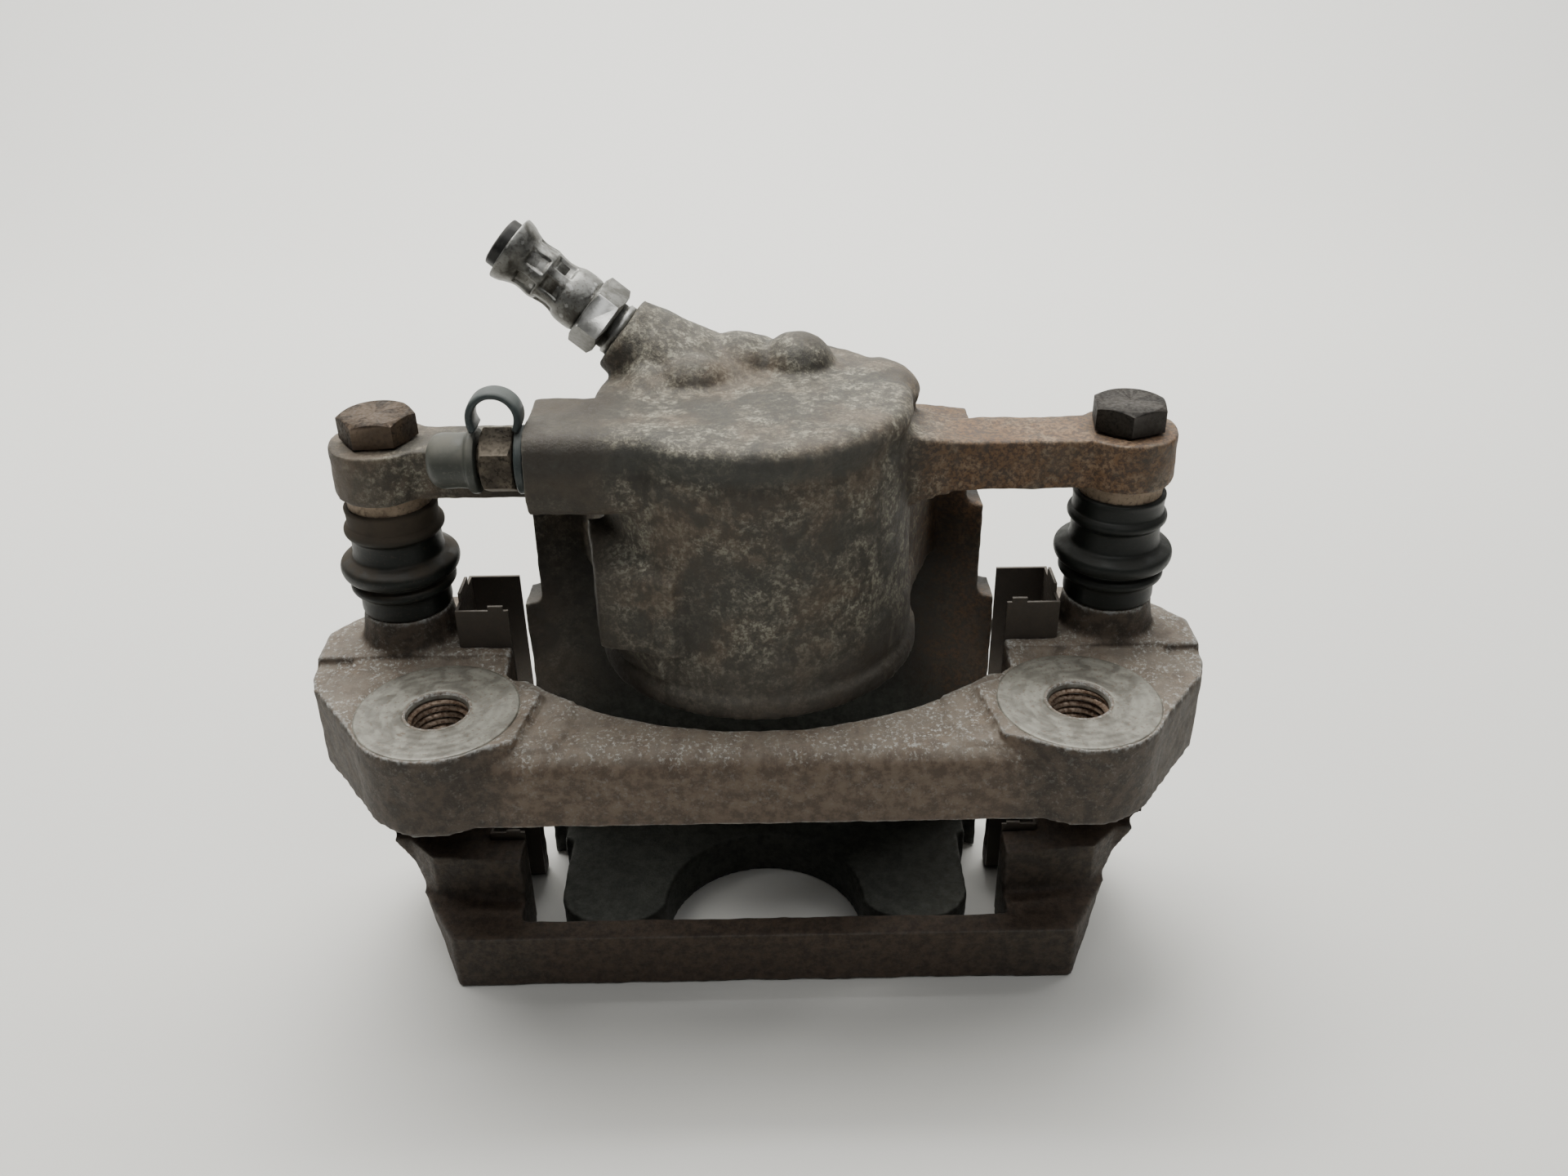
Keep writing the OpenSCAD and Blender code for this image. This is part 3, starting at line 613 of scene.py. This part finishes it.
def ring_mask(p, x, y, inside, soft=0.6 * MM):
    """0 within a radius of a vertical axis, 1 beyond it."""
    return ramp01(np.hypot(p[:, 0] - x, p[:, 1] - y), inside, inside + soft)


VOXEL = 0.7 * MM


def make_carrier():
    def crisp(p):
        keep = np.ones(len(p))
        for side in (-1, 1):
            keep *= ring_mask(p, side * HOLE_X, 0, HOLE_R + 1.2 * MM)
            keep *= ring_mask(p, side * PIN_X, PIN_Y, 7 * MM)
        return np.maximum(keep, 0.0)

    def push(p, n):
        """The casting skin stands a little above each milled spotface."""
        out = np.zeros_like(p)
        for side in (-1, 1):
            far = np.hypot(p[:, 0] - side * HOLE_X, p[:, 1])
            up = (n[:, 2] > 0.6) & (p[:, 2] > -2 * MM) & (p[:, 2] < 1 * MM)
            out[:, 2] += up * 0.55 * MM * ramp01(far, SPOT_R, SPOT_R + 0.9 * MM) * (far < 26 * MM)
        return out

    obj = cast_mesh("carrier_bracket", VOXEL, 3, crisp, push, 0.22 * MM)
    for side in (-1, 1):
        hole = lathe("tool", [(1e-5, -HOLE_DEPTH - 1 * MM), (HOLE_R + 0.85 * MM, -HOLE_DEPTH - 1 * MM),
                              (HOLE_R + 0.85 * MM, 0.4 * MM), (1e-5, 0.4 * MM)], None, 64)
        put(hole, (side * HOLE_X, 0, 0))
        boolean(obj, hole, "DIFFERENCE")
        low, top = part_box("guide_pin_left")[0].z - PIN_WAY_ROOM, BOOT_LOW + 0.6 * MM
        path = lathe("tool", [(1e-5, low), (PIN_WAY_R, low), (PIN_WAY_R, top), (1e-5, top)], None, 64)
        put(path, (side * PIN_X, PIN_Y, 0))
        boolean(obj, path, "DIFFERENCE")
    paint(obj, MAT["carrier"])
    obj.name = "carrier_casting"
    stand_for(obj, "carrier", "carrier_iron", "carrier_bracket")
    for side, word in ((-1, "left"), (1, "right")):
        make_spotface(side, word)
        make_thread(side, word)


def make_spotface(side, word):
    """Milled ring round a mounting hole, with its countersink."""
    inner = HOLE_R + 1.3 * MM
    outline = [(inner - 0.8 * MM, -1.0 * MM), (inner, -0.05 * MM), (inner + 0.15 * MM, 0.06 * MM)]
    outline += [(r * MM, 0.07 * MM + 0.012 * MM * (-1) ** i)
                for i, r in enumerate(np.linspace(7.2, SPOT_R / MM - 0.4, 18))]
    outline += [(SPOT_R, 0.0), (SPOT_R, -0.6 * MM), (inner - 0.8 * MM, -1.4 * MM)]
    ring = lathe("spotface_" + word, outline, MAT["spotface"], 128)
    ring.location = (side * HOLE_X, 0, 0)
    bpy.context.view_layer.update()
    stand_for(ring, "carrier", "carrier_iron")


def make_thread(side, word):
    """Internal thread: a helical ridge on the wall of a mounting hole."""
    pitch = 1.5 * MM
    turns = int(HOLE_DEPTH / pitch) + 1
    steps = 40
    crest, root, wall = HOLE_R - 0.02 * MM, HOLE_R + 0.72 * MM, HOLE_R + 0.95 * MM
    verts, faces = [], []
    total = turns * steps
    for i in range(total + 1):
        a = 2 * math.pi * i / steps
        z = -0.9 * MM - pitch * i / steps
        z = max(z, -HOLE_DEPTH + 0.3 * MM + pitch)
        fade = min(1, i / 10, (total - i) / 10)
        for r, dz in ((wall, 0.0), (root, -0.08), (crest + (1 - fade) * 0.7 * MM, -0.42),
                      (crest + (1 - fade) * 0.7 * MM, -0.58), (root, -0.92), (wall, -1.0)):
            verts.append((r * math.cos(a), r * math.sin(a), z + dz * pitch))
    for i in range(total):
        for k in range(6):
            m = (k + 1) % 6
            faces.append((i * 6 + k, i * 6 + m, (i + 1) * 6 + m, (i + 1) * 6 + k))
    faces += [tuple(range(5, -1, -1)), tuple(range(total * 6, total * 6 + 6))]
    thread = new_object("mount_thread_" + word, verts, faces, MAT["thread"])
    put(thread, (side * HOLE_X, 0, 0))
    stand_for(thread, "carrier", "carrier_iron")


def cast_pad():
    """The square pad low on the cylinder's left front, its top sloping back to the wall."""
    plan = ((-14.8, -1.6), (-29.4, 3.0), (-31.5, 14.0), (-19.0, 14.0))
    tops = (27.5, 26.5, 34.0, 35.0)
    verts = [(x * MM, y * MM, 11.5 * MM) for x, y in plan]
    verts += [(x * MM, y * MM, z * MM) for (x, y), z in zip(plan, tops)]
    faces = [(3, 2, 1, 0), (4, 5, 6), (4, 6, 7)]
    faces += [(k, (k + 1) % 4, (k + 1) % 4 + 4, k + 4) for k in range(4)]
    return new_object("pad", verts, faces)


def make_housing():
    def crisp(p):
        near = np.hypot(p[:, 0], p[:, 1] - CYL_Y)
        keep = 1 - (1 - ramp01(near, 28 * MM, 28.8 * MM)) * ramp01(-p[:, 2], -49 * MM, -47 * MM)
        keep *= 0.35 + 0.65 * ramp01(np.hypot(p[:, 0] + 23 * MM, p[:, 1] - 4 * MM), 8 * MM, 12 * MM)
        for side in (-1, 1):
            keep *= ring_mask(p, side * PIN_X, PIN_Y, 5.2 * MM)
        return keep

    def push(p, n):
        """A band and the mouth ring stand out round the lower cylinder, and a groove lies near its top."""
        reach = np.hypot(p[:, 0], p[:, 1] - CYL_Y)
        wall = (np.abs(reach - CYL_R) < 2.2 * MM) & (p[:, 1] < CYL_Y + 5 * MM) & (p[:, 2] > -2 * MM)
        dip = 1.5 * MM * np.sin(np.arctan2(p[:, 0], CYL_Y - p[:, 1]) * 2 - 0.6)
        band = 0.75 * MM * ramp01(-p[:, 2], -14.5 * MM - dip, -12.5 * MM - dip)
        ring = 0.25 * MM * ramp01(-p[:, 2], -5.2 * MM, -4.2 * MM)
        groove = -0.7 * MM * ramp01(p[:, 2], 45 * MM, 47 * MM) * ramp01(-p[:, 2], -50.5 * MM, -48.5 * MM)
        out = np.zeros_like(p)
        grow = wall * (1 - np.abs(n[:, 2])) * (band + ring + groove)
        out[:, 0] = grow * p[:, 0] / np.maximum(reach, 1e-6)
        out[:, 1] = grow * (p[:, 1] - CYL_Y) / np.maximum(reach, 1e-6)
        return out

    lumps = [ball((x * MM, CYL_Y + y * MM, CYL_TOP + z * MM), (a * MM, b * MM, c * MM))
             for x, y, z, a, b, c in ((8.5, 14, -1.5, 8, 8, 7.6), (-3, 15, -1.5, 8.5, 8, 7.4),
                                      (-12, 6, -2, 8, 7.5, 7), (24, 10, -4.5, 9, 12, 5))]
    lumps.append(cast_pad())
    obj = cast_mesh("caliper_housing", VOXEL, 4, crisp, push, 0.26 * MM, lumps)
    paint(obj, MAT["housing"])
    obj.name = "housing_casting"
    stand_for(obj, "housing", "housing_iron", "caliper_housing")


# ---------------------------------------------------------------- guide pins, boots and bolts

def make_boot(side, word):
    """Bellows with round folds, a neck and lips, between carrier and housing."""
    h = (BOOT_TOP - BOOT_LOW) / MM
    outer = [(8.6, 0.0), (9.0, 0.02), (9.0, 0.09), (8.9, 0.16), (9.2, 0.19), (10.2, 0.215), (10.5, 0.25),
             (10.2, 0.285), (9.5, 0.31), (9.7, 0.335), (11.2, 0.36), (11.75, 0.42), (11.5, 0.475),
             (10.3, 0.51), (9.2, 0.53), (8.9, 0.57), (8.8, 0.66), (8.9, 0.715), (9.3, 0.735),
             (9.75, 0.765), (9.75, 0.80), (9.3, 0.83), (8.95, 0.85), (8.95, 0.93), (9.1, 0.985), (8.6, 1.0)]
    line = smooth_outline([(r * MM, BOOT_LOW + t * h * MM) for r, t in outer], 5)
    inner = [(6.9 * MM, BOOT_TOP), (6.9 * MM, BOOT_LOW + 0.5 * h * MM), (6.9 * MM, BOOT_LOW)]
    boot = lathe("guide_boot_rubber_" + word, line + inner, MAT["boot_" + word], 72)
    put(boot, (side * PIN_X, PIN_Y, 0))
    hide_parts("guide_boot_" + word)
    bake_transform(boot)


def make_bolt(side, word, spin):
    """Hexagon bolt with a washer face and its shank."""
    head = hexagon("guide_bolt_head_" + word, BOLT_AF, 0.45 * MM, BOLT_HEAD_H, MAT["bolt_" + word])
    rim = smooth_outline([(4 * MM, 0.02 * MM), (6.2 * MM, 0.02 * MM), (6.35 * MM, 0.25 * MM),
                          (6.2 * MM, 0.6 * MM), (4 * MM, 0.6 * MM)], 3)
    flange = lathe("flange", rim, MAT["bolt_" + word], 64)
    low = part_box("guide_bolt_" + word)[0].z - EAR_TOP
    shank = lathe("shank", [(1e-5, low), (3.4 * MM, low), (4 * MM, low + 0.8 * MM), (4 * MM, 1 * MM),
                            (1e-5, 1 * MM)], MAT["bolt_" + word], 48)
    bolt = join("guide_bolt_" + word + "_steel", [head, flange, shank])
    put(bolt, (side * PIN_X, PIN_Y, EAR_TOP), spin=spin)
    stand_for(bolt, "housing", "bolt_steel", "guide_bolt_" + word)


# ---------------------------------------------------------------- bleeder

def bleed_put(obj):
    """From a frame with +Z outwards and +X up into the row frame."""
    turn = Matrix(((0, 0, -1), (0, 1, 0), (1, 0, 0))).to_4x4()
    obj.data.transform(Matrix.Translation(BLEED_AT) @ turn)
    return obj


def make_bleeder():
    m = MM
    hexa = hexagon("hexa", BLEED_AF, 2.1 * m, 8.0 * m, MAT["bleeder"], True, True)
    low = BLEED_AT.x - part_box("bleed_screw")[1].x
    stem = [(1e-5, low), (4 * m, low), (4 * m, -0.2 * m), (3.6 * m, 0.2 * m), (3.6 * m, 2.3 * m),
            (1e-5, 2.3 * m)]
    nipple = smooth_outline([(1.0 * m, 7.8 * m), (2.6 * m, 7.8 * m), (2.6 * m, 13.4 * m), (3.2 * m, 13.7 * m),
                             (2.3 * m, 16.4 * m), (1.0 * m, 16.5 * m)], 3)
    screw = join("bleed_screw_steel", [hexa, lathe("stem", stem, MAT["bleeder"], 64),
                                       lathe("nipple", nipple, MAT["bleeder"], 48)])
    bleed_put(screw)
    stand_for(screw, "bleed_screw", "bleeder_steel", "bleed_screw")
    top = (BLEED_AT.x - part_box("bleed_cap")[0].x) / m
    start = (BLEED_AT.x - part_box("bleed_cap")[1].x) / m
    outer = [(3.4, start), (5.5, start), (6.0, start + 0.25), (6.05, start + 1.2), (5.6, start + 1.7),
             (5.15, start + 2.2), (5.0, start + 4.0), (5.05, top - 2.6), (4.4, top - 1.1),
             (2.8, top - 0.15), (0.01, top)]
    inner = [(0.01, top - 1.2), (3.3, top - 1.4), (3.4, start + 2)]
    cap = lathe("bleed_cap_rubber", smooth_outline([(r * m, z * m) for r, z in outer], 4)
                + [(r * m, z * m) for r, z in inner], MAT["cap"], 72)
    bleed_put(cap)
    stand_for(cap, "bleed_cap", "cap_rubber", "bleed_cap")
    make_strap(start)


def make_strap(start):
    """Flat rubber ring round the screw's neck and the broad strap that loops to the cap's lip."""
    m = MM
    ring = lathe("ring", smooth_outline([(4.15 * m, 0.1 * m), (6.1 * m, 0.1 * m), (6.2 * m, 0.9 * m),
                                         (6.1 * m, 1.65 * m), (4.15 * m, 1.65 * m)], 3), MAT["strap"], 64)
    centre = Vector((8.4, 0, (start + 1.4) / 2)) * m
    loop, half_w, thick = [], 2.9 * m, 0.75 * m
    steps = 40
    for i in range(steps + 1):
        a = math.radians(-116 + 232 * i / steps)
        r = 4.3 * m + 0.25 * m * math.cos(a)
        at = centre + Vector((r * math.cos(a), 0, r * math.sin(a)))
        outward = Vector((math.cos(a), 0, math.sin(a)))
        w = half_w * (1 - 0.18 * math.cos(a))
        for k in range(12):
            b = 2 * math.pi * k / 12
            flat = math.copysign(abs(math.sin(b)) ** 0.6, math.sin(b))
            side = math.copysign(abs(math.cos(b)) ** 0.6, math.cos(b))
            loop.append(at + outward * thick * flat + Vector((0, 1, 0)) * w * side)
    faces = [(i * 12 + k, i * 12 + (k + 1) % 12, (i + 1) * 12 + (k + 1) % 12, (i + 1) * 12 + k)
             for i in range(steps) for k in range(12)]
    faces += [tuple(range(11, -1, -1)), tuple(range(steps * 12, steps * 12 + 12))]
    band = new_object("band", loop, faces, MAT["strap"])
    strap = join("bleed_cap_strap_rubber", [ring, band])
    bleed_put(strap)
    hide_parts("bleed_cap_strap")
    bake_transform(strap)


# ---------------------------------------------------------------- hose end

def hose_frame():
    """Centre and direction of the hose port, one hose end's length back from the end of the hose."""
    along = Vector([m["axis"] for m in RECORD["mounts"] if m["name"] == "hose_end"][0]).normalized()
    return HOSE_END - along * HOSE_LEN, along


def make_hose():
    m = MM
    at, along = hose_frame()
    neck = lathe("neck", [(1.6 * m, -10 * m), (4.4 * m, -10 * m), (4.4 * m, -0.3 * m), (5.5 * m, 0.05 * m),
                          (5.5 * m, 1.2 * m), (5.0 * m, 1.5 * m), (5.0 * m, 2.6 * m),
                          (1.6 * m, 2.6 * m)], MAT["zinc"], 64)
    hexa = hexagon("hexa", HOSE_AF, 2.4 * m, 8.0 * m, MAT["zinc"], True, True)
    fitting = join("hose_fitting_zinc", [neck, hexa])
    put(fitting, at, along, math.radians(12))
    stand_for(fitting, "housing", "zinc_steel", "hose_fitting")

    outline = [(5.2, 7.9), (5.5, 8.0), (5.8, 8.8), (5.85, 10.6), (5.7, 12.2), (5.15, 13.8), (4.95, 15.4),
               (5.15, 17.2), (5.35, 18.6), (5.15, 20.4), (5.2, 21.8), (5.75, 23.4), (6.3, 24.6),
               (6.6, 26.0), (6.45, 26.4), (6.2, 26.4)]
    line = smooth_outline([(r * m, z * m) for r, z in outline], 7)
    line += [(5.05 * m, 26.2 * m), (4.6 * m, 20 * m), (4.3 * m, 12 * m), (1.7 * m, 12 * m),
             (1.7 * m, 7.9 * m)]

    def crimps(r, z, angle):
        """Two staggered rows of pressed pockets round the sleeve."""
        if r < 4.8 * m:
            return r
        dent = 0.0
        for centre, turn in ((15.3, 0.0), (20.2, math.pi / 6)):
            across = abs(math.sin(3 * (angle + turn)))
            length = max(0.0, 1 - abs(z / m - centre) / 2.2)
            dent = max(dent, min(1, 5.0 * length) * min(1, max(0, across - 0.5) * 6))
        return r - 0.6 * m * dent

    sleeve = lathe("hose_ferrule_zinc", line, MAT["zinc"], 144, crimps)
    put(sleeve, at, along)
    stand_for(sleeve, "housing", "zinc_steel", "hose_ferrule")

    def ragged(r, z, angle):
        return r * (1 + 0.012 * math.sin(7 * angle) + 0.01 * math.sin(11 * angle + 1))

    stub_line = [(2.5, 13.6), (4.2, 13.6), (4.3, 22), (4.85, 24.5), (4.95, 27.9), (4.7, 28.5), (4.0, 28.7),
                 (3.6, 28.4), (3.0, 28.6), (2.5, 28.5)]
    stub_line = smooth_outline([(r * m, z * m) for r, z in stub_line], 3)
    stub = lathe("hose_stub_rubber", stub_line, MAT["hose"], 72, ragged)
    put(stub, at, along)
    stand_for(stub, "housing", "hose_rubber", "hose_stub")


# ---------------------------------------------------------------- dust boot

def make_dust_boot():
    """Rubber fold round the cylinder's mouth."""
    low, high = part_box("piston_dust_boot")
    seat = (high.x - low.x) / 2
    groove = seat - 5.15 * MM
    top = high.z - low.z
    outer = [(seat, top), (seat, 0.6 * MM), (seat - 0.5 * MM, 0.02 * MM), (seat - 1.6 * MM, 0.3 * MM),
             (seat - 3.2 * MM, 0.02 * MM), (groove + 0.8 * MM, 0.25 * MM), (groove, 0.35 * MM)]
    inner = [(groove, 1.6 * MM), (groove + 1.4 * MM, 1.6 * MM), (seat - 1.9 * MM, 0.9 * MM),
             (seat - 1.2 * MM, 1.3 * MM), (seat - 1.2 * MM, top)]
    boot = lathe("piston_dust_boot_rubber", smooth_outline(outer, 4) + inner, MAT["seal"], 96)
    put(boot, (0, CYL_Y, low.z))
    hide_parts("piston_dust_boot")
    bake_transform(boot)


# ---------------------------------------------------------------- what stays CAD

def keep_cad(node, mat, width=0.25 * MM):
    """A CAD node with its real shape, a finer edge and a procedural finish."""
    obj = frame["nodes"][node]
    obj.data.materials.clear()
    obj.data.materials.append(MAT[mat])
    if width:
        bevel(obj, width)


# ---------------------------------------------------------------- build everything

make_carrier()
make_housing()
for side, word, spin in ((-1, "left", 6), (1, "right", 22)):
    make_boot(side, word)
    make_bolt(side, word, math.radians(spin))
make_bleeder()
make_hose()
make_dust_boot()
for node in ("guide_pin_left", "guide_pin_right"):
    keep_cad(node, "pin")
keep_cad("piston", "piston", 0.4 * MM)
keep_cad("piston_seal", "seal")
keep_cad("guide_pin_bush", "seal")
keep_cad("hose_liner", "hose", 0)
for place in ("inboard_left", "inboard_right", "outboard_left", "outboard_right"):
    keep_cad("pad_clip_" + place, "clip", 0.2 * MM)


# ---------------------------------------------------------------- stage, light and camera

def make_stage():
    """Pale floor that sweeps up into a backdrop."""
    width, front, back, rise, bend = 3.0, -1.5, 0.55, 1.6, 0.35
    line = [(front, FLOOR_Z)]
    line += [(back + bend * math.sin(math.radians(t)), FLOOR_Z + bend * (1 - math.cos(math.radians(t))))
             for t in range(0, 91, 6)]
    line += [(back + bend, FLOOR_Z + rise)]
    verts = [(x, y, z) for x in (-width, width) for y, z in line]
    n = len(line)
    faces = [(k, k + 1, n + k + 1, n + k) for k in range(n - 1)]
    floor = new_object("stage_floor", verts, faces, MAT["stage"])


def area_light(name, at, target, size, power, tint=(1, 1, 1)):
    lamp = bpy.data.lights.new(name, "AREA")
    lamp.shape = "RECTANGLE"
    lamp.size, lamp.size_y = size
    lamp.energy = power
    lamp.color = tint
    obj = bpy.data.objects.new(name, lamp)
    bpy.context.scene.collection.objects.link(obj)
    obj.location = at
    obj.rotation_euler = (Vector(target) - Vector(at)).to_track_quat("-Z", "Y").to_euler()


def make_light():
    area_light("key", (-0.15, 0.22, 0.95), (0, 0.02, 0), (0.9, 0.6), 14, (1.0, 0.985, 0.94))
    area_light("front", (0.28, -0.62, 1.0), (0, 0, -0.01), (0.8, 0.4), 4.2, (0.99, 1.0, 1.0))
    area_light("wall", (0.0, 0.35, 0.95), (0, 1.0, 0.45), (1.6, 0.3), 30, (1.0, 1.0, 0.985))
    world = bpy.data.worlds.new("soft")
    world.use_nodes = True
    world.node_tree.nodes["Background"].inputs[0].default_value = (0.95, 0.97, 0.95, 1)
    world.node_tree.nodes["Background"].inputs[1].default_value = 0.075
    bpy.context.scene.world = world


def make_camera():
    """In front of the mounting ears, looking 30 degrees down."""
    pitch, yaw, roll = math.radians(29.83), math.radians(0.28), math.radians(-0.82)
    forward = Vector((math.sin(yaw) * math.cos(pitch), math.cos(yaw) * math.cos(pitch), -math.sin(pitch)))
    right = forward.cross(Vector((0, 0, 1))).normalized()
    up = right.cross(forward)
    side = math.cos(roll) * right + math.sin(roll) * up
    top = -math.sin(roll) * right + math.cos(roll) * up
    data = bpy.data.cameras.new("camera")
    data.sensor_width = 36
    data.lens = 29.81
    data.clip_start = 0.01
    cam = bpy.data.objects.new("camera", data)
    bpy.context.scene.collection.objects.link(cam)
    turn = Matrix((side, top, -forward)).transposed().to_4x4()
    cam.matrix_world = Matrix.Translation((4.23 * MM, -204.74 * MM, 143.17 * MM)) @ turn
    bpy.context.scene.camera = cam


make_stage()
make_light()
make_camera()
